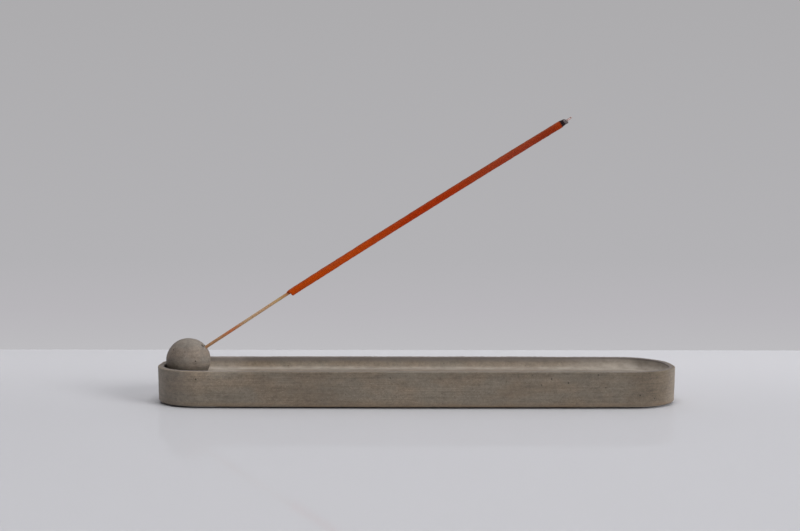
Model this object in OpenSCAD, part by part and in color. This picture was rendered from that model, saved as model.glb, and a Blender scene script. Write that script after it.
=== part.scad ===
// Incense burner: a cast concrete tray with a long shallow trough, a loose
// concrete ball that stands in it, and an incense stick that leans in the ball's
// bore. Millimetres. The origin is under the middle of the tray, on the surface
// that the tray's pads stand on. +X runs along the tray and +Z is up.

/* [Tray] */
// Length of the tray over its rounded ends
tray_length = 270; // [220:1:400]
// Width of the tray
tray_width = 57; // [54:0.5:90]
// Height of the cast tray, without its pads
tray_height = 18; // [15:0.1:30]
// Plan radius of the tray's four corners
corner_radius = 25; // [18:0.5:26]
// Thickness of the wall round the trough
wall = 3.1; // [2.6:0.1:5]
// Depth of the trough below the rim
trough_depth = 5.6; // [5:0.1:9]
// Radius of the hollow curve between the trough's wall and floor
trough_fillet = 3.6; // [1:0.1:3.8]
// Radius of the rounding on both edges of the rim
rim_round = 0.5; // [0.2:0.1:1.1]
// Radius of the rounding on the tray's bottom edge
bottom_round = 0.7; // [0.2:0.1:1.5]

/* [Pads] */
// Diameter of each cork pad
pad_d = 14; // [8:0.5:20]
// Thickness of each cork pad
pad_thickness = 1.5; // [1:0.1:3]
// Height that the pads stand proud of the tray's underside
pad_proud = 0.8; // [0.2:0.1:0.9]
// Gap round each pad in its pocket
pad_gap = 0.2; // [0.1:0.05:0.5]
// Distance from the tray's outline to the middle of a pad
pad_inset = 14; // [12.5:0.5:17]

/* [Ball] */
// Diameter of the ball
ball_d = 23; // [20:0.5:30]
// Height of the ball's middle above the trough's floor
ball_middle_height = 7.55; // [6:0.05:8.5]
// Gap between the ball and the trough's end wall
ball_end_gap = 0.3; // [0.3:0.1:3]
// Width of the relief that breaks the edge of the ball's flat base
ball_edge_relief = 0.8; // [0.6:0.1:1.5]
// Diameter of the bore that takes the stick
bore_d = 2.6; // [2.2:0.1:3.5]
// Depth of the bore, from the ball's surface
bore_depth = 11.5; // [8:0.5:12]
// Slope of the bore above the horizontal
bore_angle = 37.8; // [30:0.1:60]

/* [Incense stick] */
// Diameter of the bamboo core
core_d = 1.6; // [1:0.1:1.8]
// Diameter of the incense coating
coat_d = 3.8; // [2.6:0.1:5]
// Gap that the paste leaves as it dries, round the core and at the scorched ring
paste_gap = 0.04; // [0.03:0.01:0.1]
// Length of bare bamboo between the ball and the coating
bare_length = 52.8; // [20:0.1:80]
// Length of the unburnt coating
coat_length = 166.9; // [40:0.1:220]
// Length of the scorched ring above the coating
char_length = 1.7; // [1:0.1:6]
// Length of the ash on the burning end
ash_length = 2.3; // [1:0.1:12]
// Length of the ember that stands out of the ash
ember_length = 2.9; // [0.5:0.1:4]
// Radius of the slight droop that the stick takes under its own weight
droop_radius = 7800; // [2500:10:20000]
// Clearance between the stick and the two places where the bore holds it
stick_play = 0.05; // [0.02:0.01:0.1]
// Gap between the stick's foot and the end of the bore
foot_gap = 0.4; // [0.3:0.1:1]

/* [Hidden] */
$fn = 96;
// A long shallow arc needs this many steps in a full turn to look curved
arc_steps = 5760;
// Extra length of a cutter past the face that it cuts
overcut = 1;

tray_colour = "#75695f";
ball_colour = "#7f756b";
cork_colour = "#a98456";
bamboo_colour = "#b58a5c";
incense_colour = "#a3421c";
char_colour = "#2b1a18";
ash_colour = "#7d7571";
ember_colour = "#c98a80";

// Heights above the surface that the burner stands on
rim_z = pad_proud + tray_height;
floor_z = rim_z - trough_depth;

// Middles of the four corner curves of the tray's outline
corner_x = tray_length / 2 - corner_radius;
corner_y = tray_width / 2 - corner_radius;

// The pads stand under the tray's four corners, all as far from its outline
pad_reach = (corner_radius - pad_inset) / sqrt(2);
pad_x = corner_x + pad_reach;
pad_y = corner_y + pad_reach;

// The ball stands on the trough's floor, close to the left end wall
ball_r = ball_d / 2;
ball_x = -(tray_length / 2 - wall - ball_r - ball_end_gap);
ball_z = floor_z + ball_middle_height;
base_r = sqrt(ball_r ^ 2 - ball_middle_height ^ 2) - ball_edge_relief;
// The relief lies halfway between the flat base and the ball's own slope there
relief_slope = acos(ball_middle_height / ball_r) / 2;

// The bore is aimed at the ball's middle. The stick is thinner than the bore, so
// it lies on the bore's lower lip, and its foot lifts against the bore's roof.
core_r = core_d / 2;
coat_r = coat_d / 2;
lift = (bore_d - core_d) / 2 - stick_play;
foot_along = ball_r - bore_depth + foot_gap;
lip_along = sqrt(ball_r ^ 2 - (bore_d / 2) ^ 2);
stick_angle = bore_angle - atan(2 * lift / (lip_along - foot_along));
foot_x = ball_x + foot_along * cos(bore_angle) - lift * sin(bore_angle);
foot_z = ball_z + foot_along * sin(bore_angle) + lift * cos(bore_angle);

// The stick's centre line is an arc about this point, and turns this fast
droop_x = foot_x + droop_radius * sin(stick_angle);
droop_z = foot_z - droop_radius * cos(stick_angle);
turn_per_mm = 180 / (PI * droop_radius);

// Places along the stick, measured from its foot
coat_at = lip_along - foot_along + bare_length;
char_at = coat_at + coat_length;
ash_at = char_at + char_length;
ember_at = ash_at + ash_length;

// Radii of the burning end, which narrows from the coating to the ember's point
char_r = 0.88 * coat_r;
ash_r = 0.82 * coat_r;
ash_end_r = 0.63 * coat_r;
ember_r = 0.75 * core_r;
ember_end_r = 0.6 * ember_r;

// Half section of the cast body, from its middle out to its outer wall
module body_half(reach) {
    low = pad_proud + bottom_round;
    high = rim_z - rim_round;
    translate([0, low])
        square([reach, high - low]);
    translate([0, pad_proud])
        square([reach - bottom_round, bottom_round]);
    translate([reach - bottom_round, low])
        circle(bottom_round);
    translate([0, high])
        square([reach - rim_round, rim_round]);
    translate([reach - rim_round, high])
        circle(rim_round);
}

// Half section of the trough, from its middle out to its wall. It flares at the
// top, which leaves the rim's inner edge rounded.
module trough_half(reach) {
    low = floor_z + trough_fillet;
    high = rim_z - rim_round;
    translate([0, low])
        square([reach, rim_z + overcut - low]);
    translate([0, floor_z])
        square([reach - trough_fillet, trough_fillet]);
    translate([reach - trough_fillet, low])
        circle(trough_fillet);
    difference() {
        translate([reach - overcut, high])
            square([overcut + rim_round, rim_round + overcut]);
        translate([reach + rim_round, high])
            circle(rim_round);
    }
}

// A straight run along Y of a half section that faces +X
module run(length) {
    rotate([90, 0, 0])
        translate([0, 0, -length / 2])
            linear_extrude(length)
                children();
}

// Carries a half section round the tray's outline: two long sides, two short ends
// and four turned corners. $reach tells the section how far out its wall lies.
module around_tray(inset) {
    for (side = [0, 1])
        mirror([0, side, 0])
            rotate(90)
                run(2 * corner_x)
                    let ($reach = tray_width / 2 - inset) children();
    for (end = [0, 1])
        mirror([end, 0, 0]) {
            translate([corner_x, 0, 0])
                run(2 * corner_y)
                    let ($reach = corner_radius - inset) children();
            for (side = [0, 1])
                mirror([0, side, 0])
                    translate([corner_x, corner_y, 0])
                        rotate_extrude(angle = 90)
                            let ($reach = corner_radius - inset) children();
        }
}

// The pads are numbered from the left end to the right, front before back
module at_pad(number) {
    end = number <= 2 ? -1 : 1;
    side = number % 2 == 1 ? -1 : 1;
    translate([end * pad_x, side * pad_y, 0])
        children();
}

module tray() {
    color(tray_colour)
        difference() {
            around_tray(0)
                body_half($reach);
            around_tray(wall)
                trough_half($reach);
            for (number = [1:4])
                at_pad(number)
                    cylinder(d = pad_d + 2 * pad_gap, h = pad_thickness);
        }
}

module foot_pad(number) {
    color(cork_colour)
        at_pad(number)
            cylinder(d = pad_d, h = pad_thickness);
}

// Half section of the ball: a half disc with a flat base and a relieved edge
module ball_half() {
    far = ball_r + overcut;
    intersection() {
        circle(ball_r);
        polygon([
            [0, -ball_middle_height],
            [base_r, -ball_middle_height],
            [far, (far - base_r) * tan(relief_slope) - ball_middle_height],
            [far, far],
            [0, far]
        ]);
    }
}

module ball() {
    color(ball_colour)
        translate([ball_x, 0, ball_z])
            difference() {
                rotate_extrude()
                    ball_half();
                rotate([0, 90 - bore_angle, 0])
                    translate([0, 0, ball_r - bore_depth])
                        cylinder(d = bore_d, h = bore_depth + overcut);
            }
}

// A length of the stick between two places, with its cross section as the child
module along_stick(from, to) {
    translate([droop_x, 0, droop_z])
        rotate([90, 0, 0])
            rotate(90 + stick_angle - to * turn_per_mm)
                rotate_extrude(angle = (to - from) * turn_per_mm, $fn = arc_steps)
                    translate([droop_radius, 0])
                        children();
}

// Sets a short turned piece on the stick's centre line, with its own +Z along it
module on_stick(place) {
    slope = stick_angle - place * turn_per_mm;
    translate([droop_x - droop_radius * sin(slope), 0, droop_z + droop_radius * cos(slope)])
        rotate([0, 90 - slope, 0])
            rotate_extrude($fn = 48)
                children();
}

module bamboo_core() {
    color(bamboo_colour)
        along_stick(0, ash_at)
            circle(core_r, $fn = 32);
}

module incense_coat() {
    color(incense_colour)
        along_stick(coat_at, char_at)
            difference() {
                circle(coat_r, $fn = 48);
                circle(core_r + paste_gap, $fn = 32);
            }
}

module char_ring() {
    color(char_colour)
        difference() {
            on_stick(char_at)
                polygon([
                    [0, paste_gap],
                    [coat_r, paste_gap],
                    [char_r, char_length / 2],
                    [char_r, char_length],
                    [0, char_length]
                ]);
            along_stick(char_at - overcut, ash_at + overcut)
                circle(core_r + paste_gap, $fn = 32);
        }
}

module ash_tip() {
    color(ash_colour)
        on_stick(ash_at)
            polygon([
                [0, 0],
                [ash_r, 0],
                [ash_r, 0.45 * ash_length],
                [ash_end_r, 0.85 * ash_length],
                [ember_r, ash_length],
                [0, ash_length]
            ]);
}

module ember_tip() {
    color(ember_colour)
        on_stick(ember_at)
            polygon([
                [0, 0],
                [ember_r, 0],
                [ember_r, 0.6 * ember_length],
                [ember_end_r, ember_length],
                [0, ember_length]
            ]);
}

tray();
for (number = [1:4])
    foot_pad(number);
ball();
bamboo_core();
incense_coat();
char_ring();
ash_tip();
ember_tip();
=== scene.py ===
import math
import random
from collections import namedtuple

import bmesh
import bpy
import numpy as np
from mathutils import Matrix, Vector


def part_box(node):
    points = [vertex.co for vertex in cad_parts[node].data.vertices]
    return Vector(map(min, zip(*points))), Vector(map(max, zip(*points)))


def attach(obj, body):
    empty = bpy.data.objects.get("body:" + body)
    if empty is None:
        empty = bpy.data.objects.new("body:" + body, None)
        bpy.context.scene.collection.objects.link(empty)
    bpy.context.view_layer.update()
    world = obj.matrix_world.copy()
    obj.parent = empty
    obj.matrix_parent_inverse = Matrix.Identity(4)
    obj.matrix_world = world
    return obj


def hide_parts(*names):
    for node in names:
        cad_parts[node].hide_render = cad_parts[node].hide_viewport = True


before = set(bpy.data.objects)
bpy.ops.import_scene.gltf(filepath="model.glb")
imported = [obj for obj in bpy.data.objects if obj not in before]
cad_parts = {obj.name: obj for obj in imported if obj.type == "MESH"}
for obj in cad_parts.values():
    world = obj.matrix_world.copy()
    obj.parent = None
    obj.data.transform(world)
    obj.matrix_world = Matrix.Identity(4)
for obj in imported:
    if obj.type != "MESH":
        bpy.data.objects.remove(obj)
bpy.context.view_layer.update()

# Lengths below are in millimetres, as in the part's source, and MM turns them into metres.
MM = 0.001


# ---------------------------------------------------------------- sizes

def node_box(name):
    """Lowest and highest corner of a CAD node, in millimetres."""
    low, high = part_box(name)
    return np.array(low) / MM, np.array(high) / MM


# The tray, as its box gives it, and the sizes inside it that a box doesn't give
tray_low, tray_high = node_box("tray")
TRAY_HALF_LENGTH = tray_high[0]
TRAY_HALF_WIDTH = tray_high[1]
UNDERSIDE_Z = tray_low[2]
RIM_Z = tray_high[2]
CORNER_RADIUS = 25.0
WALL = 3.1
TROUGH_DEPTH = 5.6
TROUGH_FILLET = 3.6
RIM_ROUND = 0.5
FLOOR_Z = RIM_Z - TROUGH_DEPTH
# The cast is rubbed rounder at the bottom than the solid, which has a radius of 0.7 there
BOTTOM_ROUND = 1.1
# A hand-made mould: its long sides bow out, and its walls lean in towards the base
SIDE_BOW = 0.8
WALL_DRAFT = 0.32

# The pads, four alike, each in a pocket with a gap round it
PAD_NUMBERS = range(1, 5)
pad_low, pad_high = node_box("foot_pad_1")
PAD_RADIUS = (pad_high[0] - pad_low[0]) / 2
PAD_HEIGHT = pad_high[2]
PAD_GAP = 0.2

# The ball: its top is a full sphere, so its box gives its middle and radius
ball_low, ball_high = node_box("ball")
BALL_RADIUS = (ball_high[0] - ball_low[0]) / 2
BALL_MIDDLE = np.array([(ball_low[0] + ball_high[0]) / 2, 0.0, ball_high[2] - BALL_RADIUS])
BALL_BASE_DEPTH = BALL_MIDDLE[2] - FLOOR_Z
BORE_RADIUS = 1.3
BORE_DEPTH = 11.5
BORE_ANGLE = math.radians(37.8)
BORE_TURN = np.array(Matrix.Rotation(math.pi / 2 - BORE_ANGLE, 3, "Y"))
BORE_AXIS = BORE_TURN[:, 2]

# The stick, whose centre line is a long shallow arc. Its foot clears the bore's end by FOOT_GAP
# and the bore's roof by STICK_PLAY.
CORE_RADIUS = 0.8
COAT_RADIUS = 1.9
STICK_PLAY = 0.05
FOOT_GAP = 0.4
BARE_LENGTH = 52.8
COAT_LENGTH = 166.9
CHAR_LENGTH = 1.7
ASH_LENGTH = 2.3
EMBER_LENGTH = 2.9
DROOP_RADIUS = 7800.0
# Along the bore's axis from the ball's middle: the stick's foot, which is also LIFT above the
# axis, and the lip of the bore
FOOT_ALONG = BALL_RADIUS - BORE_DEPTH + FOOT_GAP
LIFT = BORE_RADIUS - CORE_RADIUS - STICK_PLAY
LIP_ALONG = math.sqrt(BALL_RADIUS ** 2 - BORE_RADIUS ** 2)
# Along the stick from its foot: the bore's mouth, and where each stretch starts
MOUTH_AT = LIP_ALONG - FOOT_ALONG
COAT_AT = MOUTH_AT + BARE_LENGTH
CHAR_AT = COAT_AT + COAT_LENGTH
ASH_AT = CHAR_AT + CHAR_LENGTH
EMBER_AT = ASH_AT + ASH_LENGTH
STICK_ANGLE = BORE_ANGLE - math.atan(2 * LIFT / MOUTH_AT)


# ---------------------------------------------------------------- mesh helpers

def waves(points, wavelength, seed, count=14):
    """A smooth random value for each point, about -1 to 1, that varies over one wavelength."""
    draw = np.random.default_rng(seed)
    directions = draw.normal(size=(count, 3))
    directions /= np.linalg.norm(directions, axis=1)[:, None]
    lengths = wavelength * draw.uniform(0.7, 1.5, count)
    phases = draw.uniform(0, 2 * math.pi, count)
    turns = points @ directions.T * (2 * math.pi / lengths) + phases
    return np.sin(turns).sum(1) / math.sqrt(count)


def smooth_step(low, high, value):
    """0 at low and 1 at high, with a smooth change between and none beyond."""
    share = np.clip((value - low) / (high - low), 0, 1)
    return share * share * (3 - 2 * share)


def spread(start, end, step):
    """Places from start to end, about one step apart."""
    return np.linspace(start, end, max(2, round((end - start) / step) + 1))


def turned(stations, columns):
    """Rings of points round the third axis, one for each (radius, place along the axis)."""
    angles = np.linspace(0, 2 * math.pi, columns, endpoint=False)
    radii = np.array([r for r, _ in stations])[:, None]
    along = np.array([a for _, a in stations])[:, None] + 0 * angles
    rings = np.stack([radii * np.cos(angles), radii * np.sin(angles), along], axis=-1)
    return rings.reshape(-1, 3)


def grid_faces(rows, columns, closed=False):
    """Quads between neighbouring points of a grid that is stored row by row."""
    faces = []
    for row in range(rows - 1):
        here = row * columns
        above = here + columns
        for c in range(columns if closed else columns - 1):
            c2 = (c + 1) % columns
            faces.append((here + c, here + c2, above + c2, above + c))
    return faces


def add_faces(bm, points, faces):
    """Adds points and the faces between them to a bmesh, and returns its new points."""
    made = [bm.verts.new(p) for p in points]
    for face in faces:
        bm.faces.new([made[i] for i in face])
    return made


def closed_mesh(points, columns):
    """A smooth closed bmesh from rings of points, with a flat face on its first and last ring."""
    bm = bmesh.new()
    made = add_faces(bm, points, grid_faces(len(points) // columns, columns, closed=True))
    bm.faces.new(made[:columns])
    bm.faces.new(made[-columns:])
    bmesh.ops.recalc_face_normals(bm, faces=bm.faces)
    for face in bm.faces:
        face.smooth = True
    return bm


def points_of(bm):
    """All the points of a bmesh as an array."""
    return np.array([v.co for v in bm.verts])


def normals_of(bm):
    """The direction in which each point of a bmesh faces, as an array."""
    bm.normal_update()
    return np.array([v.normal for v in bm.verts])


def move_points(bm, points):
    """Sets all the points of a bmesh from an array."""
    for v, p in zip(bm.verts, points):
        v.co = p


def smooth_above(bm):
    """Shades a bmesh smooth, but for its flat underside."""
    bm.normal_update()
    for face in bm.faces:
        face.smooth = face.normal.z > -0.999


def nearest(points, target):
    """The point of the mesh that lies nearest to a target."""
    return points[((points - np.array(target)) ** 2).sum(1).argmin()]


def add_object(name, data):
    """Adds an object to the scene."""
    made = bpy.data.objects.new(name, data)
    bpy.context.scene.collection.objects.link(made)
    return made


def finish_piece(bm, name, material, body, node):
    """Turns a bmesh in millimetres into a piece in metres that rides on a body."""
    bmesh.ops.scale(bm, vec=(MM, MM, MM), verts=bm.verts)
    mesh = bpy.data.meshes.new(name)
    bm.to_mesh(mesh)
    bm.free()
    mesh.materials.append(material)
    piece = add_object(name, mesh)
    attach(piece, body)
    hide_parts(node)
    return piece


def keep_values(piece, **values):
    """Stores one number per point under each name, for the material to read."""
    for name, numbers in values.items():
        attribute = piece.data.attributes.new(name, "FLOAT", "POINT")
        attribute.data.foreach_set("value", np.asarray(numbers, np.float32))


# ---------------------------------------------------------------- air holes

# A hole changes the mesh out to HOLE_REACH of its radius, and the mesh is made finer out to
# FINE_MARGIN beyond. Its floor takes HOLE_FLOOR of its radius, which varies by HOLE_WOBBLE.
HOLE_REACH = 1.5
FINE_MARGIN = 0.25
HOLE_FLOOR = 0.45
HOLE_WOBBLE = 0.18
HOLE_SEED = 900
Hole = namedtuple("Hole", "middle radius depth darkness", defaults=[1.0])


def refine_near(bm, holes, cuts):
    """Splits the edges near the holes, so that they can be carved finely."""
    points = points_of(bm)
    near = np.zeros(len(points), bool)
    for hole in holes:
        reach = hole.radius * HOLE_REACH + FINE_MARGIN
        near |= ((points - hole.middle) ** 2).sum(1) < reach ** 2
    edges = [e for e in bm.edges if near[e.verts[0].index] or near[e.verts[1].index]]
    bmesh.ops.subdivide_edges(bm, edges=edges, cuts=cuts, use_grid_fill=True)
    bm.verts.index_update()


def carve(bm, holes, cuts=3):
    """Carves the holes, and returns how much painted shade each point of the mesh gets from lying in
    one, from 0 up.
    """
    bm.verts.index_update()
    refine_near(bm, holes, cuts)
    points = points_of(bm)
    sunk = np.zeros(len(points))
    push = np.zeros(len(points))
    for number, hole in enumerate(holes):
        away = points - hole.middle
        distance = np.sqrt((away ** 2).sum(1))
        near = np.nonzero(distance < hole.radius * HOLE_REACH)[0]
        if not len(near):
            continue
        wobble = 1 + HOLE_WOBBLE * waves(away[near] / hole.radius, 1.6, HOLE_SEED + number, count=5)
        depth = 1 - smooth_step(HOLE_FLOOR, 1.0, distance[near] / (hole.radius * wobble))
        sunk[near] = np.maximum(sunk[near], depth * hole.darkness)
        push[near] = np.maximum(push[near], depth * hole.depth)
    move_points(bm, points - normals_of(bm) * push[:, None])
    return sunk


def scattered(points, draw, count, small, large):
    """Tiny air holes at random points of a mesh, most of them near the small end."""
    crowding = 2.2
    holes = []
    for _ in range(count):
        radius = small + (large - small) * draw.random() ** crowding
        holes.append(Hole(points[draw.randrange(len(points))], radius, radius))
    return holes


# ---------------------------------------------------------------- materials

def srgb(red, green, blue):
    """A colour as it shows on a screen, 0 to 255, in Blender's linear values."""
    shares = [c / 255 for c in (red, green, blue)]
    linear = [c / 12.92 if c <= 0.04045 else ((c + 0.055) / 1.055) ** 2.4 for c in shares]
    return (*linear, 1.0)


class Nodes:
    """The nodes of a material or of the world."""

    def __init__(self, tree):
        self.tree = tree
        tree.nodes.clear()

    def node(self, kind, **settings):
        """A new node with its settings."""
        made = self.tree.nodes.new(kind)
        for key, value in settings.items():
            setattr(made, key, value)
        return made

    def join(self, value, socket):
        """Links a node's output to a socket, or sets a plain value on it."""
        if isinstance(value, bpy.types.NodeSocket):
            self.tree.links.new(value, socket)
        else:
            socket.default_value = value

    def math(self, operation, a, b, clamp=False):
        """One operation on two numbers."""
        made = self.node("ShaderNodeMath", operation=operation, use_clamp=clamp)
        self.join(a, made.inputs[0])
        self.join(b, made.inputs[1])
        return made.outputs[0]

    def times(self, a, b, clamp=False):
        """The product of two numbers."""
        return self.math("MULTIPLY", a, b, clamp)

    def looked_at(self):
        """1 for what the camera and mirrors see, and 0 for the light on other things."""
        path = self.node("ShaderNodeLightPath")
        return self.math("MAXIMUM", path.outputs["Is Camera Ray"], path.outputs["Is Glossy Ray"])

    def either(self, share, first, second):
        """A mix of two shaders, with this share of the second."""
        made = self.node("ShaderNodeMixShader")
        self.join(share, made.inputs["Fac"])
        self.join(first.outputs[0], made.inputs[1])
        self.join(second.outputs[0], made.inputs[2])
        return made

    def end_in(self, shader, kind="ShaderNodeOutputMaterial"):
        """Sends a shader to the output."""
        self.join(shader.outputs[0], self.node(kind).inputs["Surface"])


class Shader(Nodes):
    """A node material. Its textures are placed in millimetres, in the object's space or by a
    place that the mesh keeps."""

    def __init__(self, name, place=None):
        self.material = bpy.data.materials.new(name)
        self.material.use_nodes = True
        super().__init__(self.material.node_tree)
        if place:
            self.place = self.attribute(place, "Vector")
        else:
            in_metres = self.node("ShaderNodeTexCoord").outputs["Object"]
            self.place = self.scaled(in_metres, 1 / MM)

    def attribute(self, name, output="Fac"):
        """A value that the mesh keeps for each point, and 0 where it keeps none."""
        return self.node("ShaderNodeAttribute", attribute_name=name).outputs[output]

    def scaled(self, vector, scale):
        """A vector or colour times a number."""
        made = self.node("ShaderNodeVectorMath", operation="SCALE")
        self.join(vector, made.inputs[0])
        self.join(scale, made.inputs["Scale"])
        return made.outputs["Vector"]

    def part_of(self, axis, vector):
        """One axis of a vector."""
        made = self.node("ShaderNodeSeparateXYZ")
        self.join(vector, made.inputs["Vector"])
        return made.outputs[axis]

    def texture(self, kind, size, shift):
        """A texture whose unit is size, in millimetres along each axis or along all."""
        mapping = self.node("ShaderNodeMapping")
        self.join(self.place, mapping.inputs["Vector"])
        mapping.inputs["Location"].default_value = (shift, 0.7 * shift, 1.3 * shift)
        mapping.inputs["Scale"].default_value = [1 / s for s in np.broadcast_to(size, 3)]
        made = self.node(kind)
        self.join(mapping.outputs["Vector"], made.inputs["Vector"])
        made.inputs["Scale"].default_value = 1.0
        return made

    def noise(self, size, shift, detail=2.0, roughness=0.5):
        """Soft noise, mostly from 0.3 to 0.7."""
        made = self.texture("ShaderNodeTexNoise", size, shift)
        made.inputs["Detail"].default_value = detail
        made.inputs["Roughness"].default_value = roughness
        return made.outputs["Fac"]

    def cells(self, size, shift, output="Distance"):
        """Packed cells: the distance from the middle of each, or its colour."""
        return self.texture("ShaderNodeTexVoronoi", size, shift).outputs[output]

    def between(self, value, low, high, out_low=0.0, out_high=1.0, kind="SMOOTHSTEP"):
        """Maps low..high to out_low..out_high, smoothly unless kind says otherwise."""
        made = self.node("ShaderNodeMapRange", interpolation_type=kind)
        self.join(value, made.inputs["Value"])
        ends = (low, high, out_low, out_high)
        for name, end in zip(("From Min", "From Max", "To Min", "To Max"), ends):
            made.inputs[name].default_value = end
        return made.outputs["Result"]

    def varied(self, noise, low, high):
        """A number that goes from low to high with a noise."""
        return self.between(noise, 0.3, 0.7, low, high)

    def mix(self, share, a, b):
        """A mix of two colours, with this share of b."""
        made = self.node("ShaderNodeMix", data_type="RGBA")
        self.join(share, made.inputs["Factor"])
        self.join(a, made.inputs["A"])
        self.join(b, made.inputs["B"])
        return made.outputs["Result"]

    def marked(self, tone, name, strength, colour):
        """A tone with a colour over it, as far as the mesh keeps a value."""
        return self.mix(self.times(self.attribute(name), strength), tone, colour)

    def ramp(self, value, stops):
        """Colours along a value, as a list of (position, colour)."""
        made = self.node("ShaderNodeValToRGB")
        self.join(value, made.inputs["Fac"])
        elements = made.color_ramp.elements
        while len(elements) < len(stops):
            elements.new(0.5)
        for element, (position, colour) in zip(elements, stops):
            element.position = position
            element.color = colour
        return made.outputs["Color"]

    def shade(self, colour, *layers):
        """Multiplies a colour by 1 plus each layer, given as (value from 0 to 1, strength)."""
        total = 1.0
        for value, strength in layers:
            centred = self.math("SUBTRACT", value, 0.5)
            total = self.math("ADD", self.times(centred, 2 * strength), total)
        return self.scaled(colour, total)

    def bump(self, height, depth, strength, before=None):
        """A bump of the given depth in millimetres, on top of an earlier one."""
        made = self.node("ShaderNodeBump")
        made.inputs["Strength"].default_value = strength
        made.inputs["Distance"].default_value = depth * MM
        self.join(height, made.inputs["Height"])
        if before is not None:
            self.join(before, made.inputs["Normal"])
        return made.outputs["Normal"]

    def finish(self, colour, roughness, normal, specular=0.5):
        """Ends the material in an opaque surface."""
        surface = self.node("ShaderNodeBsdfPrincipled")
        self.join(colour, surface.inputs["Base Color"])
        self.join(roughness, surface.inputs["Roughness"])
        self.join(normal, surface.inputs["Normal"])
        surface.inputs["Specular IOR Level"].default_value = specular
        self.end_in(surface)
        return self.material


# The colours of marks on the concrete, some of them painted light and shade
DARK_SAND = srgb(58, 50, 43)
SMOKE = srgb(114, 108, 106)
STAIN = srgb(124, 102, 80)
DUST = srgb(184, 175, 165)
PIT = srgb(40, 34, 30)


def sand(s, cells, solid, choice, rarity, strength):
    """Single grains of sand, in the middles of cells where a noise is above a rarity. Each is
    solid out to a distance and soft beyond."""
    outside = 0.20
    fading = 0.10
    grains = s.between(cells, outside, solid)
    chosen = s.between(choice, rarity, rarity + fading)
    return s.times(grains, s.times(chosen, strength))


def concrete(name, warm, cool, pale, shift):
    """Fine cast concrete: soft clouds, fine grain, faint level streaks on its upright faces,
    and, where the mesh keeps them, wear, stain, dust, tint, a painted grey sheen and painted shade in
    the air holes; the stain, dust and tint carry painted light and shade as well."""
    s = Shader(name)
    # Each texture has a shift of its own, so that no two follow each other
    clouds = s.noise((22, 22, 9), shift, 3, 0.55)
    patches = s.noise((5, 5, 3), shift + 3, 4, 0.6)
    blotches = s.noise((1.6, 1.6, 1.2), shift + 5, 3, 0.6)
    streaks = s.noise((26, 26, 0.7), shift + 7, 3, 0.6)
    grain = s.noise(0.42, shift + 11, 3, 0.7)
    facing_up = s.part_of("Z", s.node("ShaderNodeNewGeometry").outputs["Normal"])
    upright = s.between(facing_up, 0.25, 0.05)
    level = s.math("ADD", s.times(s.math("SUBTRACT", streaks, 0.5), upright), 0.5)
    tone = s.mix(s.between(clouds, 0.36, 0.64), warm, cool)
    soft = [(clouds, 0.20), (patches, 0.38), (blotches, 0.38)]
    tone = s.shade(tone, *soft, (level, 0.36), (grain, 0.52))
    pebbles = s.cells(1.15, shift + 13)
    dark = sand(s, pebbles, 0.13, s.noise(2.1, shift + 17, 1), 0.50, 0.55)
    light = sand(s, s.cells(0.9, shift + 19), 0.12, s.noise(1.9, shift + 23, 1), 0.52, 0.5)
    tone = s.mix(light, s.mix(dark, tone, DARK_SAND), pale)
    tone = s.marked(tone, "wear", s.varied(patches, 0.0625, 0.25), pale)
    # Paler and darker tone, with painted shade under the tray's rim and down the ball's lower part
    tone = s.scaled(tone, s.math("ADD", 1.0, s.attribute("tint")))
    # Painted sheen: a grey film on the upper part of the trough's inner wall
    tone = s.marked(tone, "smoke", s.varied(patches, 0.6, 0.9), SMOKE)
    # A stain low on the tray's outside, and painted shade at the ball's foot
    tone = s.marked(tone, "stain", s.between(streaks, 0.38, 0.62, 0.15, 0.6), STAIN)
    # Dust on the trough's floor, with painted sheen on the tray's ends and painted light on the
    # trough's walls
    tone = s.marked(tone, "dust", s.varied(patches, 0.5, 0.9), DUST)
    # Painted shade in the air holes and down the bore
    tone = s.mix(s.times(s.attribute("sunk"), 0.76, clamp=True), tone, PIT)
    fine = s.bump(grain, 0.10, 0.55)
    coarse = s.bump(blotches, 0.10, 0.5, fine)
    pitted = s.bump(s.between(pebbles, 0.05, 0.22), 0.05, 0.35, coarse)
    return s.finish(tone, s.varied(patches, 0.62, 0.78), pitted)


def cork():
    """Granulated cork: packed grains of several browns, with a few dark ones."""
    s = Shader("cork")
    granule = 1.3
    pick = s.part_of("X", s.cells(granule, 2, "Color"))
    tone = s.ramp(pick, [
        (0.0, srgb(92, 62, 38)),
        (0.12, srgb(150, 112, 74)),
        (0.6, srgb(178, 140, 98)),
        (1.0, srgb(202, 166, 120)),
    ])
    crumb = s.noise(0.35, 4, 3, 0.65)
    tone = s.shade(tone, (crumb, 0.35))
    edges = s.cells(granule, 2)
    tone = s.mix(s.between(edges, 0.45, 0.75), tone, srgb(86, 60, 38))
    uneven = s.bump(crumb, 0.12, 0.6)
    return s.finish(tone, 0.92, s.bump(edges, -0.12, 0.5, uneven))


def bamboo():
    """Split bamboo: long pale fibres, stained orange where the paste's dye has run."""
    s = Shader("bamboo", "straight")
    along = s.part_of("Z", s.place)
    fibres = s.noise((0.16, 0.16, 14), 1, 4, 0.65)
    long_tone = s.noise((0.9, 0.9, 11), 6, 2, 0.5)
    tone = s.ramp(s.between(along, MOUTH_AT, COAT_AT, kind="LINEAR"), [
        (0.0, srgb(168, 126, 90)),
        (0.16, srgb(173, 129, 92)),
        (0.30, srgb(184, 108, 68)),
        (0.38, srgb(180, 122, 84)),
        (0.48, srgb(188, 156, 120)),
        (0.72, srgb(191, 153, 119)),
        (0.88, srgb(184, 152, 106)),
        (1.0, srgb(176, 112, 66)),
    ])
    tone = s.shade(tone, (fibres, 0.32), (long_tone, 0.22))
    creases = s.between(fibres, 0.34, 0.26)
    tone = s.mix(s.times(creases, 0.6), tone, srgb(96, 66, 40))
    return s.finish(tone, s.varied(fibres, 0.5, 0.72), s.bump(fibres, 0.09, 0.7))


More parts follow.
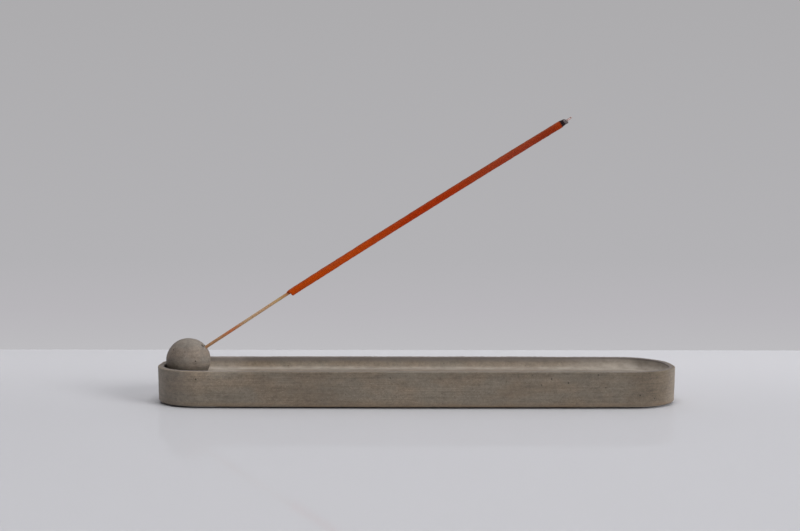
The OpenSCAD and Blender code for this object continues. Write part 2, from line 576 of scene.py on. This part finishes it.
def incense():
    """Rolled incense paste: dry orange-brown powder, dustier towards the burning end, paler on its
    upper side as painted light, and singed beside the char."""
    s = Shader("incense_paste", "straight")
    along = s.part_of("Z", s.place)
    drift = s.noise((4, 4, 16), 2, 3, 0.55)
    lumps = s.noise((0.9, 0.9, 1.8), 5, 4, 0.65)
    powder = s.noise((0.22, 0.22, 0.26), 8, 3, 0.7)
    tone = s.ramp(s.between(along, COAT_AT, CHAR_AT, kind="LINEAR"), [
        (0.0, srgb(184, 70, 8)),
        (0.25, srgb(181, 68, 12)),
        (0.45, srgb(166, 50, 6)),
        (0.60, srgb(163, 50, 10)),
        (0.70, srgb(154, 56, 24)),
        (0.83, srgb(147, 57, 34)),
        (0.97, srgb(137, 47, 18)),
        (1.0, srgb(158, 54, 6)),
    ])
    tone = s.mix(s.between(drift, 0.46, 0.70, 0.0, 0.35), tone, srgb(150, 66, 36))
    # Painted light: paler and duller on the upper side, where light falls from above
    height = s.part_of("X", s.place)
    upper = s.between(height, 0.4 * COAT_RADIUS, 0.95 * COAT_RADIUS, 0.0, 0.4)
    tone = s.mix(upper, tone, srgb(146, 86, 56))
    tone = s.shade(tone, (drift, 0.10), (lumps, 0.22), (powder, 0.34))
    flecks = s.between(s.cells((0.55, 0.55, 0.75), 3), 0.16, 0.10)
    tone = s.mix(s.times(flecks, 0.55), tone, srgb(92, 40, 22))
    singed = s.between(along, CHAR_AT - 0.9, CHAR_AT + 0.1)
    uneven = s.varied(lumps, 0.4, 1.0)
    tone = s.mix(s.times(singed, uneven), tone, srgb(52, 26, 20))
    rough = s.bump(powder, 0.07, 0.75)
    return s.finish(tone, 0.9, s.bump(lumps, 0.14, 0.6, rough), specular=0.15)


def burnt(name, dark, light, crumb_size, depth):
    """Charred paste or ash: crumbs of two tones with cracks between them."""
    s = Shader(name, "straight")
    crumbs = s.noise(crumb_size, 4, 5, 0.7)
    cracks = s.cells(1.7 * crumb_size, 7)
    tone = s.mix(s.between(crumbs, 0.38, 0.62), dark, light)
    tone = s.shade(tone, (cracks, 0.25))
    rough = s.bump(crumbs, depth, 0.8)
    return s.finish(tone, 0.95, s.bump(cracks, -depth, 0.5, rough))


def table_top(name, front, back, mirror):
    """A satin table top: a matt colour with painted light that makes it a little paler at the back,
    and a faint mirror.
    """
    s = Shader(name)
    matt = s.node("ShaderNodeBsdfDiffuse")
    # Painted light: a pool of light that makes the table paler towards the back
    far = s.between(s.part_of("Y", s.place), -60, 160)
    s.join(s.mix(far, front, back), matt.inputs["Color"])
    gloss = s.node("ShaderNodeBsdfAnisotropic")
    gloss.inputs["Roughness"].default_value = 0.05
    s.end_in(s.either(mirror, matt, gloss))
    return s.material


def backdrop(name, colour, seen):
    """A matt wall that can't be seen from behind. The camera and mirrors see it as an even
    surface with painted light that makes it paler towards the table, with seen as its colours from the
    table up."""
    s = Shader(name)
    matt = s.node("ShaderNodeBsdfDiffuse")
    matt.inputs["Color"].default_value = colour
    even = s.node("ShaderNodeEmission")
    height = s.between(s.part_of("Z", s.place), 0, 240, kind="LINEAR")
    s.join(s.ramp(height, seen), even.inputs["Color"])
    front = s.either(s.looked_at(), matt, even)
    behind = s.node("ShaderNodeNewGeometry").outputs["Backfacing"]
    s.end_in(s.either(behind, front, s.node("ShaderNodeBsdfTransparent")))
    return s.material


# ---------------------------------------------------------------- tray

MESH_STEP = 0.5
# How many faces each rounded corner of the section takes, and a pad's pocket all round
BOTTOM_SIDES = 5
RIM_SIDES = 6
FILLET_SIDES = 12
POCKET_SIDES = 96
SPINE_REACH = np.array((TRAY_HALF_LENGTH, TRAY_HALF_WIDTH)) - CORNER_RADIUS


def steps(length):
    """How many mesh steps a length takes."""
    return max(1, round(length / MESH_STEP))


def arc(middle, radius, start, end, count):
    """Points along an arc of the tray's section, after its first point. Angles in degrees."""
    angles = np.radians(np.linspace(start, end, count + 1)[1:])
    return [(middle[0] + radius * math.cos(a), middle[1] + radius * math.sin(a)) for a in angles]


def line(start, end):
    """Points along a straight stretch of the tray's section, after its first point."""
    count = steps(math.dist(start, end))
    return [tuple(point) for point in np.linspace(start, end, count + 1)[1:]]


def tray_section():
    """The tray's section as (reach from the spine, height), from the underside's edge up over
    the rim and down to the middle of the trough's floor."""
    wall_low = UNDERSIDE_Z + BOTTOM_ROUND
    wall_high = RIM_Z - RIM_ROUND
    inner = CORNER_RADIUS - WALL
    fillet_z = FLOOR_Z + TROUGH_FILLET
    points = [(CORNER_RADIUS - BOTTOM_ROUND, UNDERSIDE_Z)]
    points += arc((CORNER_RADIUS - BOTTOM_ROUND, wall_low), BOTTOM_ROUND, -90, 0, BOTTOM_SIDES)
    points += line(points[-1], (CORNER_RADIUS, wall_high))
    points += arc((CORNER_RADIUS - RIM_ROUND, wall_high), RIM_ROUND, 0, 90, RIM_SIDES)
    points += line(points[-1], (inner + RIM_ROUND, RIM_Z))
    points += arc((inner + RIM_ROUND, wall_high), RIM_ROUND, 90, 180, RIM_SIDES)
    points += line(points[-1], (inner, fillet_z))
    points += arc((inner - TROUGH_FILLET, fillet_z), TROUGH_FILLET, 0, -90, FILLET_SIDES)
    points += line(points[-1], (0, FLOOR_Z))
    return points


def tray_spine():
    """Points once round the rectangle that the corner curves are centred on, each with the
    direction outwards."""
    x, y = SPINE_REACH
    corners = [(-x, -y), (x, -y), (x, y), (-x, y)]
    turn_steps = steps(CORNER_RADIUS * math.pi / 2)
    spine = []
    for number, corner in enumerate(corners):
        after = corners[(number + 1) % 4]
        facing = -90 + 90 * number
        count = steps(math.dist(corner, after))
        for i in range(count):
            spot = [a + (b - a) * i / count for a, b in zip(corner, after)]
            spine.append((spot, facing))
        for i in range(turn_steps):
            spine.append((after, facing + 90 * i / turn_steps))
    return spine


def tray_rings(spine):
    """The tray's points, ring by ring."""
    rings = []
    for reach, z in tray_section():
        for (x, y), facing in spine:
            angle = math.radians(facing)
            rings.append((x + reach * math.cos(angle), y + reach * math.sin(angle), z))
    return rings


def floor_strip():
    """The points and faces of the flat strip along the middle of the trough."""
    x, y = SPINE_REACH
    across = np.linspace(-y, y, steps(2 * y) + 1)
    along = np.linspace(-x, x, steps(2 * x) + 1)
    points = [(px, py, FLOOR_Z) for py in across for px in along]
    return points, grid_faces(len(across), len(along))


def lean_and_bow(points):
    """The mould's own shape: sides that bow out in the middle, and walls that lean in below."""
    narrowing = SIDE_BOW / TRAY_HALF_WIDTH * (points[:, 0] / SPINE_REACH[0]) ** 2
    below_rim = (RIM_Z - points[:, 2]) / (RIM_Z - UNDERSIDE_Z)
    moved = points.copy()
    moved[:, 1] *= 1 - narrowing - WALL_DRAFT / TRAY_HALF_WIDTH * below_rim
    moved[:, 0] *= 1 - WALL_DRAFT / TRAY_HALF_LENGTH * below_rim
    return moved


def inside_outline(points):
    """Draws the tray in a little, so that its unevenness stays inside its length and width."""
    moved = points.copy()
    for axis, half in ((0, TRAY_HALF_LENGTH), (1, TRAY_HALF_WIDTH)):
        moved[:, axis] *= min(1.0, half / np.abs(points[:, axis]).max())
    return moved


def ring_edges(bm, ring):
    """The edges between neighbouring points of a closed ring."""
    return [bm.edges.get(pair) for pair in zip(ring, ring[1:] + ring[:1])]


def close_underside(bm, ring_size):
    """Closes the tray below, with a pocket for each pad."""
    bm.verts.ensure_lookup_table()
    border = ring_edges(bm, bm.verts[:ring_size])
    radius = PAD_RADIUS + PAD_GAP
    wall = turned([(radius, UNDERSIDE_Z), (radius, PAD_HEIGHT)], POCKET_SIDES)
    for number in PAD_NUMBERS:
        low, high = node_box(f"foot_pad_{number}")
        middle = (*(low + high)[:2] / 2, 0)
        made = add_faces(bm, wall + middle, grid_faces(2, POCKET_SIDES, closed=True))
        bm.faces.new(made[POCKET_SIDES:])
        border += ring_edges(bm, made[:POCKET_SIDES])
    bmesh.ops.triangle_fill(bm, use_beauty=True, edges=border, normal=(0, 0, -1))


def tray_unevenness(points):
    """How far the cast surface strays from its mould's ideal shape."""
    on_edge = smooth_step(RIM_Z - 1.6, RIM_Z - 0.2, points[:, 2])
    on_edge = np.maximum(on_edge, smooth_step(UNDERSIDE_Z + 1.4, UNDERSIDE_Z + 0.3, points[:, 2]))
    broad = 0.05 * waves(points, 34, seed=1)
    fine = 0.03 * waves(points, 7, seed=2)
    ragged = 0.035 * on_edge * waves(points, 2.6, seed=3)
    on_underside = points[:, 2] < UNDERSIDE_Z + 0.02
    return np.where(on_underside, 0.0, broad + fine + ragged)


def tray_mesh():
    """The tray as a bmesh, without its air holes."""
    spine = tray_spine()
    rings = tray_rings(spine)
    bm = bmesh.new()
    add_faces(bm, rings, grid_faces(len(rings) // len(spine), len(spine), closed=True))
    add_faces(bm, *floor_strip())
    bmesh.ops.remove_doubles(bm, verts=bm.verts, dist=0.01)
    bmesh.ops.dissolve_degenerate(bm, dist=0.01, edges=bm.edges)
    bm.verts.index_update()
    close_underside(bm, len(spine))
    bmesh.ops.recalc_face_normals(bm, faces=bm.faces)
    points = points_of(bm)
    points = points + normals_of(bm) * tray_unevenness(points)[:, None]
    move_points(bm, inside_outline(lean_and_bow(points)))
    return bm


# Air holes and chips that show on the front, as (x, height, radius, depth)
FRONT_HOLES = [
    (-111.7, 14.7, 0.52, 0.50),
    (-13.3, 15.6, 0.38, 0.36),
    (62.5, 12.4, 0.38, 0.38),
    (67.4, 15.2, 0.48, 0.48),
    (76.0, 13.2, 0.44, 0.42),
    (91.0, 17.3, 0.46, 0.46),
    (95.1, 10.7, 0.36, 0.38),
    (112.2, 6.9, 0.42, 0.42),
    (120.3, 4.9, 0.38, 0.36),
]
FRONT_CHIPS = [
    (-38.4, 0.8, 1.1, 0.30),
    (-64.0, 18.7, 0.5, 0.14),
    (65.4, 18.8, 0.8, 0.16),
]
# Large soft patches of paler or darker concrete on the front, as (x, height, half length,
# half height, change in tone)
FRONT_PATCHES = [
    (-106, 17, 26, 11, 0.32),
    (-92, 6, 8, 6, -0.10),
    (-50, 8, 22, 14, -0.14),
    (-8, 8, 26, 9, 0.10),
    (50, 9, 24, 14, -0.07),
    (90, 10, 20, 16, -0.08),
    (117, 9, 19, 22, -0.27),
]


def on_front(points, spots):
    """Holes in the tray's front face, from their (x, height, radius, depth)."""
    holes = []
    for x, z, radius, depth in spots:
        past = max(0.0, abs(x) - SPINE_REACH[0])
        y = CORNER_RADIUS - TRAY_HALF_WIDTH - math.sqrt(CORNER_RADIUS ** 2 - past ** 2)
        holes.append(Hole(nearest(points, (x, y, z)), radius, depth))
    return holes


def edge_wear(points, normals):
    """1 on edges that are rounded between a level and an upright face, and 0 elsewhere."""
    rounded = np.clip(1 - np.abs(np.abs(normals[:, 2]) - 0.65) / 0.3, 0, 1)
    return rounded * ((points[:, 2] > RIM_Z - 1.2) | (points[:, 2] < UNDERSIDE_Z + 1.2))


def trough_dust(points, reach):
    """A pale floor, paler still in a band along the foot of the trough's wall and beside the ball,
    and painted light on the trough's walls that grows towards the right end, whose wall lies in shade."""
    x, z = points[:, 0], points[:, 2]
    foot = CORNER_RADIUS - WALL - TROUGH_FILLET
    low = smooth_step(FLOOR_Z + 0.9, FLOOR_Z + 0.1, z)
    along_foot = smooth_step(foot - 6.4, foot - 3.4, reach) * low
    # Painted light on the trough's walls, growing towards the right end, whose wall lies in shade
    to_right = 0.12 * smooth_step(-85, -60, x) + 0.12 * smooth_step(-20, 70, x)
    to_right = to_right + 0.5 * smooth_step(70, 122, x) + 0.35 * smooth_step(108, 122, x)
    by_ball = smooth_step(-88, -100, x) * smooth_step(-118, -108, x)
    on_wall = smooth_step(RIM_Z - 0.5, RIM_Z - 1.3, z) * to_right * (1 - 0.8 * low)
    return np.clip(0.16 * low + 0.42 * along_foot + on_wall + 0.3 * by_ball, 0, 1)


def front_tint(points):
    """How much paler or darker than its mix the concrete is, over the front and the ends, with painted
    shade in a band just under the rim.
    """
    x, z = points[:, 0], points[:, 2]
    # Painted shade: darker in a band just under the rim
    tint = -0.12 * smooth_step(RIM_Z - 5.0, RIM_Z - 0.7, z) * smooth_step(-92, -70, x)
    for patch_x, patch_z, half_length, half_height, change in FRONT_PATCHES:
        away = np.hypot((x - patch_x) / half_length, (z - patch_z) / half_height)
        tint = tint + change * smooth_step(1, 0, away)
    return tint * smooth_step(0, -SPINE_REACH[1], points[:, 1])


def rubbed_ends(normals):
    """Painted sheen on the tray's ends, more of it on the left end."""
    left = smooth_step(-0.05, -0.4, normals[:, 0])
    both = smooth_step(0.6, 0.9, np.abs(normals[:, 0]))
    return 0.16 * left + 0.24 * both


def make_tray(material):
    """The cast tray, with its air holes and chips, where it is worn, stained and dusty, and with
    painted light and shade on it.
    """
    bm = tray_mesh()
    points = points_of(bm)
    draw = random.Random(7)
    holes = on_front(points, FRONT_HOLES)
    above = points[points[:, 2] > UNDERSIDE_Z + 0.5]
    holes += scattered(above, draw, count=170, small=0.12, large=0.34)
    sunk = carve(bm, holes)
    chipped = carve(bm, on_front(points, FRONT_CHIPS), cuts=1)
    # The chips' new points come after the others
    sunk = np.concatenate([sunk, np.zeros(len(chipped) - len(sunk))])
    points = points_of(bm)
    normals = normals_of(bm)
    from_spine = points[:, :2] - np.clip(points[:, :2], -SPINE_REACH, SPINE_REACH)
    reach = np.linalg.norm(from_spine, axis=1)
    outside = reach > CORNER_RADIUS - WALL / 2
    smooth_above(bm)
    keep_values(
        finish_piece(bm, "tray_body", material, "tray", "tray"),
        sunk=sunk,
        wear=np.maximum(edge_wear(points, normals), chipped),
        stain=smooth_step(4.5, 0.8, points[:, 2]) * outside,
        tint=front_tint(points) * outside,
        # Painted grey sheen on the inner wall, just under the rim
        smoke=smooth_step(RIM_Z - 3.2, RIM_Z - 1.2, points[:, 2]) * (1 - outside),
        # Painted sheen on the ends outside, and dust with painted light inside
        dust=np.where(outside, rubbed_ends(normals), trough_dust(points, reach)),
    )


# ---------------------------------------------------------------- pads

def make_pad(number, material):
    """A disc of granulated cork, with grains that stand proud of its cut edge."""
    columns = 160
    soften = 0.18
    side_grain = 0.16
    face_grain = 0.06
    low, high = node_box(f"foot_pad_{number}")
    middle = (*(low + high)[:2] / 2, 0)
    across = np.linspace(0.25, PAD_RADIUS - soften, 26)
    section = [(r, low[2]) for r in across]
    section += [(PAD_RADIUS, z) for z in np.linspace(low[2] + soften, high[2] - soften, 6)]
    section += [(r, high[2]) for r in across[::-1]]
    disc = turned(section, columns)
    points = disc + middle
    bm = closed_mesh(points, columns)
    grains = 0.5 + 0.5 * np.clip(waves(points, 1.5, seed=40 + number), -1, 1)
    on_side = np.hypot(disc[:, 0], disc[:, 1]) > PAD_RADIUS - 2 * soften
    depth = np.where(on_side, side_grain, face_grain) * grains
    move_points(bm, points - normals_of(bm) * depth[:, None])
    finish_piece(bm, f"cork_pad_{number}", material, "tray", f"foot_pad_{number}")


# ---------------------------------------------------------------- ball

# Air holes that show on the ball's front, as (offset from its middle, radius, depth) and, for
# the first, at the bore's mouth, the darkness of its painted shade
BALL_HOLES = [
    ((8.20, -2.30, 7.70), 1.10, 1.20, 1.3),
    ((5.55, -10.03, 0.88), 0.44, 0.42),
    ((0.16, -10.06, 5.57), 0.30, 0.26),
    ((-6.36, -7.28, 6.23), 0.55, 0.45),
]
# How dark the painted shade on the bore's wall is, beside 1 for an air hole
BORE_DARKNESS = 1.3
# How far the base's edge and the bore's lip are rounded
BASE_SOFTEN = 0.9
LIP_ROUND = 0.15
BALL_COLUMNS = 232
BALL_STEP = 0.3


def ball_section():
    """The ball's section as (distance from the bore's axis, height along it), from the end of
    the bore up its wall and over the lip round to the far side."""
    bore_end = BALL_RADIUS - BORE_DEPTH
    points = [(r, bore_end) for r in np.linspace(0.15, BORE_RADIUS, 8)]
    points += [(BORE_RADIUS, a) for a in np.linspace(bore_end, LIP_ALONG - 2 * LIP_ROUND, 36)[1:]]
    # Two points round the lip, by shares of its radius
    for outward, below in ((0.2, 1), (0.35, 1 / 3)):
        points.append((BORE_RADIUS + outward * LIP_ROUND, LIP_ALONG - below * LIP_ROUND))
    first = math.asin((BORE_RADIUS + LIP_ROUND) / BALL_RADIUS)
    count = round(BALL_RADIUS * (math.pi - first) / BALL_STEP)
    for i in range(count):
        angle = first + (math.pi - first) * i / count
        points.append((BALL_RADIUS * math.sin(angle), BALL_RADIUS * math.cos(angle)))
    return points


def flatten_base(points):
    """Draws the ball's outside in to its flat base, with a softened edge."""
    distance = np.linalg.norm(points, axis=1)
    down = np.maximum(-points[:, 2] / distance, 1e-6)
    plane = BALL_BASE_DEPTH / down
    overlap = np.maximum(BASE_SOFTEN - np.abs(plane - distance), 0) / BASE_SOFTEN
    limit = np.minimum(plane, distance) - overlap ** 2 * BASE_SOFTEN / 4
    share = np.where(distance > BALL_RADIUS - 1, limit / distance, 1)
    return points * share[:, None]


def ball_mesh():
    """The ball as a bmesh round its own middle, without its air holes, with its points and
    which of them lie on its outside, clear of the base."""
    points = turned(ball_section(), BALL_COLUMNS) @ BORE_TURN.T
    bm = closed_mesh(points, BALL_COLUMNS)
    shell = np.linalg.norm(points, axis=1)
    outer = smooth_step(BALL_RADIUS - 1.2, BALL_RADIUS - 0.2, shell)
    broad = 0.04 * waves(points, 9, seed=21)
    fine = 0.015 * waves(points, 2.2, seed=22)
    uneven = (broad + fine) * outer
    shaped = flatten_base(points * (1 + uneven / shell)[:, None])
    move_points(bm, shaped)
    clear = (outer > 0.99) & (shaped[:, 2] > 0.5 - BALL_BASE_DEPTH)
    return bm, shaped, clear


def make_ball(material):
    """The cast ball, with its air holes, its rubbed lip, and painted shade on its lower part and its
    foot.
    """
    bm, shaped, clear = ball_mesh()
    draw = random.Random(11)
    holes = [Hole(nearest(shaped, offset), *sizes) for offset, *sizes in BALL_HOLES]
    holes += scattered(shaped[clear], draw, count=34, small=0.12, large=0.3)
    sunk = carve(bm, holes)
    points = points_of(bm)
    along = points @ BORE_AXIS
    away = np.linalg.norm(points - np.outer(along, BORE_AXIS), axis=1)
    in_bore = (away < BORE_RADIUS + 0.05) & (along > 0) & (along < LIP_ALONG - 0.3)
    at_lip = smooth_step(BORE_RADIUS + 0.9, BORE_RADIUS + 0.1, away) * (along > LIP_ALONG - 0.5)
    move_points(bm, points + BALL_MIDDLE)
    smooth_above(bm)
    keep_values(
        finish_piece(bm, "ball_body", material, "ball", "ball"),
        # Painted shade in the air holes and on the bore's wall
        sunk=np.maximum(sunk, BORE_DARKNESS * in_bore),
        wear=at_lip,
        # Painted shade at the foot, where the ball meets the trough
        stain=smooth_step(2.6 - BALL_BASE_DEPTH, -BALL_BASE_DEPTH, points[:, 2]),
        # Painted shade, darker down the ball's lower part towards the trough
        tint=-0.46 * smooth_step(-0.8, -4.0, points[:, 2]),
    )


# ---------------------------------------------------------------- stick

# The stick's foot, and the middle of the arc of its centre line
FOOT_X = BALL_MIDDLE[0] + FOOT_ALONG * math.cos(BORE_ANGLE) - LIFT * math.sin(BORE_ANGLE)
FOOT_Z = BALL_MIDDLE[2] + FOOT_ALONG * math.sin(BORE_ANGLE) + LIFT * math.cos(BORE_ANGLE)
DROOP_X = FOOT_X + DROOP_RADIUS * math.sin(STICK_ANGLE)
DROOP_Z = FOOT_Z - DROOP_RADIUS * math.cos(STICK_ANGLE)
# The core bows up from its straight line by this much at the bore's mouth and at the paste
MOUTH_RISE = 0.2
CORE_RISE = 0.45


def bend(straight):
    """Lays points given as (up, side, along) beside the stick's drooping centre line."""
    up, side, along = straight.T
    angle = STICK_ANGLE - along / DROOP_RADIUS
    reach = DROOP_RADIUS + up
    return np.stack([DROOP_X - reach * np.sin(angle), side, DROOP_Z + reach * np.cos(angle)], axis=1)


def make_on_stick(name, straight, columns, material, node):
    """A closed piece on the stick, from rings of points as (up, side, along). It keeps them for
    its textures."""
    bm = closed_mesh(bend(straight), columns)
    piece = finish_piece(bm, name, material, "incense_stick", node)
    attribute = piece.data.attributes.new("straight", "FLOAT_VECTOR", "POINT")
    attribute.data.foreach_set("vector", np.asarray(straight, np.float32).ravel())


def angle_round(straight):
    """The angle of each point round the centre line, 0 on the upper side."""
    return np.arctan2(straight[:, 1], straight[:, 0])


def grown(straight, change):
    """Moves points out from the centre line by a change in radius."""
    radius = np.hypot(straight[:, 0], straight[:, 1])
    moved = straight.copy()
    moved[:, :2] *= (1 + change / radius)[:, None]
    return moved


def crumbled(straight, depth, seed):
    """Breaks a burnt surface into crumbs, always inwards."""
    crumbs = waves(straight, 0.75, seed) + 0.7 * waves(straight, 0.34, seed + 1)
    return grown(straight, np.minimum(depth * crumbs - 1.1 * depth, 0))


def make_bamboo(material):
    """The split core: not quite round, with fine ridges along its fibres."""
    columns = 56
    ridge = 0.014
    stations = [(0.3 * CORE_RADIUS, 0.0), (0.85 * CORE_RADIUS, 0.02)]
    stations += [(CORE_RADIUS, a) for a in spread(0.12, COAT_AT + 3, 0.5)]
    stations += [(CORE_RADIUS, a) for a in spread(COAT_AT + 6, ASH_AT, 4)]
    straight = turned(stations, columns)
    angle = angle_round(straight)
    along = straight[:, 2]
    around = np.stack([np.cos(angle), np.sin(angle), 0 * angle], axis=1)
    fine = waves(around * 3 + along[:, None] * (0, 0, 0.02), 0.62, seed=51)
    broad = waves(around + along[:, None] * (0, 0, 0.05), 2.4, seed=52)
    split = grown(straight, ridge * fine + ridge * broad)
    split[:, 0] += MOUTH_RISE * smooth_step(0, MOUTH_AT + 6, along)
    split[:, 0] += (CORE_RISE - MOUTH_RISE) * smooth_step(MOUTH_AT + 6, COAT_AT, along)
    make_on_stick("bamboo", split, columns, material, "bamboo_core")


def slanted_start(straight, lead):
    """Moves the paste's points so that its lower end is broken off at a slant, early and thin on
    the upper side, and returns 1 at that end and 0 beyond it."""
    angle = angle_round(straight)
    along = straight[:, 2].copy()
    upper = 0.5 + 0.5 * np.cos(angle)
    ragged = 0.15 * np.sin(3 * angle + 1)
    start = -1.7 * upper ** 1.5 + ragged + 0.3
    thinning = (1.5 * upper ** 2 - 0.3) * smooth_step(COAT_AT, COAT_AT + lead, along)
    straight[:, 2] += (start + thinning) * smooth_step(COAT_AT + 9, COAT_AT + 2, along)
    at_start = smooth_step(COAT_AT + 0.8 * lead, COAT_AT, along)
    straight[:, 0] += CORE_RISE * at_start
    return at_start


def make_coat(material):
    """The paste, rolled on by hand: lumpy, and at its full thickness a short way from its start."""
    columns = 48
    lead = 1.0
    inside = CORE_RADIUS - 0.1
    stations = []
    for share in np.linspace(0, 1, 9):
        radius = inside + (COAT_RADIUS - inside) * math.sin(share * math.pi / 2) ** 0.8
        stations.append((radius, COAT_AT + lead * share))
    stations += [(COAT_RADIUS, a) for a in spread(COAT_AT + lead, CHAR_AT, 0.24)[1:]]
    straight = turned(stations, columns)
    at_start = slanted_start(straight, lead)
    lumps = 0.022 * waves(straight, 3.2, seed=61) + 0.02 * waves(straight, 1.1, seed=62)
    powder = 0.016 * waves(straight, 0.5, seed=63)
    drift = 0.03 * waves(straight, 26, seed=64)
    coat = grown(straight, (lumps + powder + drift) * (1 - at_start))
    make_on_stick("incense_paste", coat, columns, material, "incense_coat")


def make_char(material):
    """The scorched ring, which shrinks towards the ash and has wavy ends."""
    columns = 64
    stations = [(0.96 * COAT_RADIUS, a) for a in spread(CHAR_AT - 0.15, ASH_AT + 0.1, 0.08)]
    straight = turned(stations, columns)
    angle = angle_round(straight)
    straight[:, 2] += 0.16 * np.sin(angle * 2 + 0.6) + 0.10 * np.sin(angle * 5)
    shrink = -0.12 * COAT_RADIUS * smooth_step(CHAR_AT, ASH_AT, straight[:, 2])
    ring = crumbled(grown(straight, shrink), 0.045, seed=71)
    make_on_stick("scorched_paste", ring, columns, material, "char_ring")


def rounded_stations(radius, start, end, step, tip, sides, power=1.0):
    """Stations of a rod from start to end, and of a rounded tip beyond."""
    stations = [(radius, a) for a in spread(start, end, step)]
    for i in range(1, sides):
        turn = i / sides * math.pi / 2
        stations.append((radius * math.cos(turn) ** power, end + tip * math.sin(turn)))
    return stations


def make_ash(material):
    """The ash, which has broken off at a slant."""
    columns = 64
    radius = 0.82 * COAT_RADIUS
    tip = 0.6
    stations = rounded_stations(radius, ASH_AT - 0.1, EMBER_AT - tip, 0.08, tip, sides=13, power=0.6)
    straight = turned(stations, columns)
    share = smooth_step(ASH_AT + 0.3, EMBER_AT - 0.4, straight[:, 2])
    straight[:, 2] -= (0.55 * straight[:, 0] / radius + 0.35) * share
    make_on_stick("ash", crumbled(straight, 0.07, seed=81), columns, material, "ash_tip")


def make_ember(material):
    """The thin burnt core that stands out of the ash and bends up a little."""
    columns = 40
    end = EMBER_AT + EMBER_LENGTH - 0.5
    stations = rounded_stations(0.75 * CORE_RADIUS, EMBER_AT - 0.9, end, 0.07, tip=0.45, sides=10)
    straight = turned(stations, columns)
    beyond = np.maximum(straight[:, 2] - EMBER_AT, 0) / EMBER_LENGTH
    straight = crumbled(grown(straight, -0.12 * beyond), 0.035, seed=91)
    straight[:, 0] += 0.22 * beyond ** 2
    make_on_stick("ember", straight, columns, material, "ember_tip")


# ---------------------------------------------------------------- stage, light and camera

# Metres from here on
STAGE_REACH = 4.0
WALL_Y = 0.193
ROOM_COLOUR = srgb(173, 172, 174)
LAMP_TARGET = Vector((0.0, 0.0, 0.03))
# The camera, as fitted to the photo: its lens in millimetres, its place, and the angles by
# which it looks down and leans
LENS = 49.4546
CAMERA_PLACE = (-0.0086405, -0.5756986, 0.1043026)
LOOK_DOWN = 0.0582
LEAN = 0.0013


def plane(name, corners, material):
    """A flat face of the stage."""
    mesh = bpy.data.meshes.new(name)
    mesh.from_pydata(corners, [], [tuple(range(len(corners)))])
    mesh.materials.append(material)
    add_object(name, mesh)


def make_stage():
    """A pale satin table in front of an even grey wall."""
    table = table_top("table_top", srgb(199, 199, 203), srgb(212, 212, 216), mirror=0.11)
    wall = backdrop("back_wall", srgb(213, 212, 214), seen=[
        (0.0, srgb(189, 188, 191)),
        (0.12, srgb(184, 182, 186)),
        (0.27, srgb(179, 178, 181)),
        (1.0, ROOM_COLOUR),
    ])
    far = STAGE_REACH
    plane("table", [(-far, -far, 0), (far, -far, 0), (far, far, 0), (-far, far, 0)], table)
    plane("wall", [(-far, WALL_Y, 0), (far, WALL_Y, 0), (far, WALL_Y, far), (-far, WALL_Y, far)], wall)


def soft_lamp(name, size, energy, place):
    """A large lamp, in metres and watts, that isn't mirrored in anything."""
    lamp = bpy.data.lights.new(name, "AREA")
    lamp.shape = "RECTANGLE"
    lamp.size, lamp.size_y = size
    lamp.energy = energy
    made = add_object(name, lamp)
    made.visible_glossy = False
    made.location = place
    made.rotation_euler = (LAMP_TARGET - Vector(place)).to_track_quat("-Z", "Y").to_euler()


def make_room(glow, seen):
    """An even room with a dim white glow, which the camera and mirrors see in its own colour."""
    world = bpy.data.worlds.new("soft_room")
    world.use_nodes = True
    s = Nodes(world.node_tree)
    light = s.node("ShaderNodeBackground")
    light.inputs["Color"].default_value = (1.0, 1.0, 1.0, 1.0)
    light.inputs["Strength"].default_value = glow
    view = s.node("ShaderNodeBackground")
    view.inputs["Color"].default_value = seen
    s.end_in(s.either(s.looked_at(), light, view), "ShaderNodeOutputWorld")
    bpy.context.scene.world = world


def make_light():
    """A dim even room, with a large soft lamp above and another at the right."""
    make_room(0.20, ROOM_COLOUR)
    soft_lamp("ceiling_lamp", (1.6, 0.6), 20.0, (0.1, -0.15, 2.0))
    soft_lamp("side_lamp", (2.0, 2.0), 178.0, (3.94, -2.56, 1.87))


def make_camera():
    """The camera, at the photo's viewing angle."""
    lens = bpy.data.cameras.new("camera")
    lens.lens = LENS
    lens.clip_start = 0.01
    made = add_object("camera", lens)
    turn = Matrix.Rotation(math.pi / 2 - LOOK_DOWN, 4, "X") @ Matrix.Rotation(LEAN, 4, "Z")
    made.matrix_world = Matrix.Translation(CAMERA_PLACE) @ turn
    bpy.context.scene.camera = made


# ---------------------------------------------------------------- the whole

# The warm, cool and pale tones of each mix of concrete
TRAY_MIX = (srgb(125, 112, 97), srgb(119, 110, 98), srgb(172, 162, 150))
BALL_MIX = (srgb(128, 116, 105), srgb(121, 114, 106), srgb(168, 160, 150))

make_tray(concrete("tray_concrete", *TRAY_MIX, shift=0.0))
pad_cork = cork()
for pad_number in PAD_NUMBERS:
    make_pad(pad_number, pad_cork)
make_ball(concrete("ball_concrete", *BALL_MIX, shift=40.0))
make_bamboo(bamboo())
make_coat(incense())
make_char(burnt("charred_paste", srgb(14, 8, 10), srgb(40, 24, 27), 0.5, 0.10))
make_ash(burnt("ash", srgb(82, 73, 75), srgb(126, 116, 114), 0.45, 0.10))
make_ember(burnt("ember", srgb(150, 124, 119), srgb(206, 182, 178), 0.4, 0.07))
make_stage()
make_light()
make_camera()
bpy.context.scene.view_settings.view_transform = "Standard"
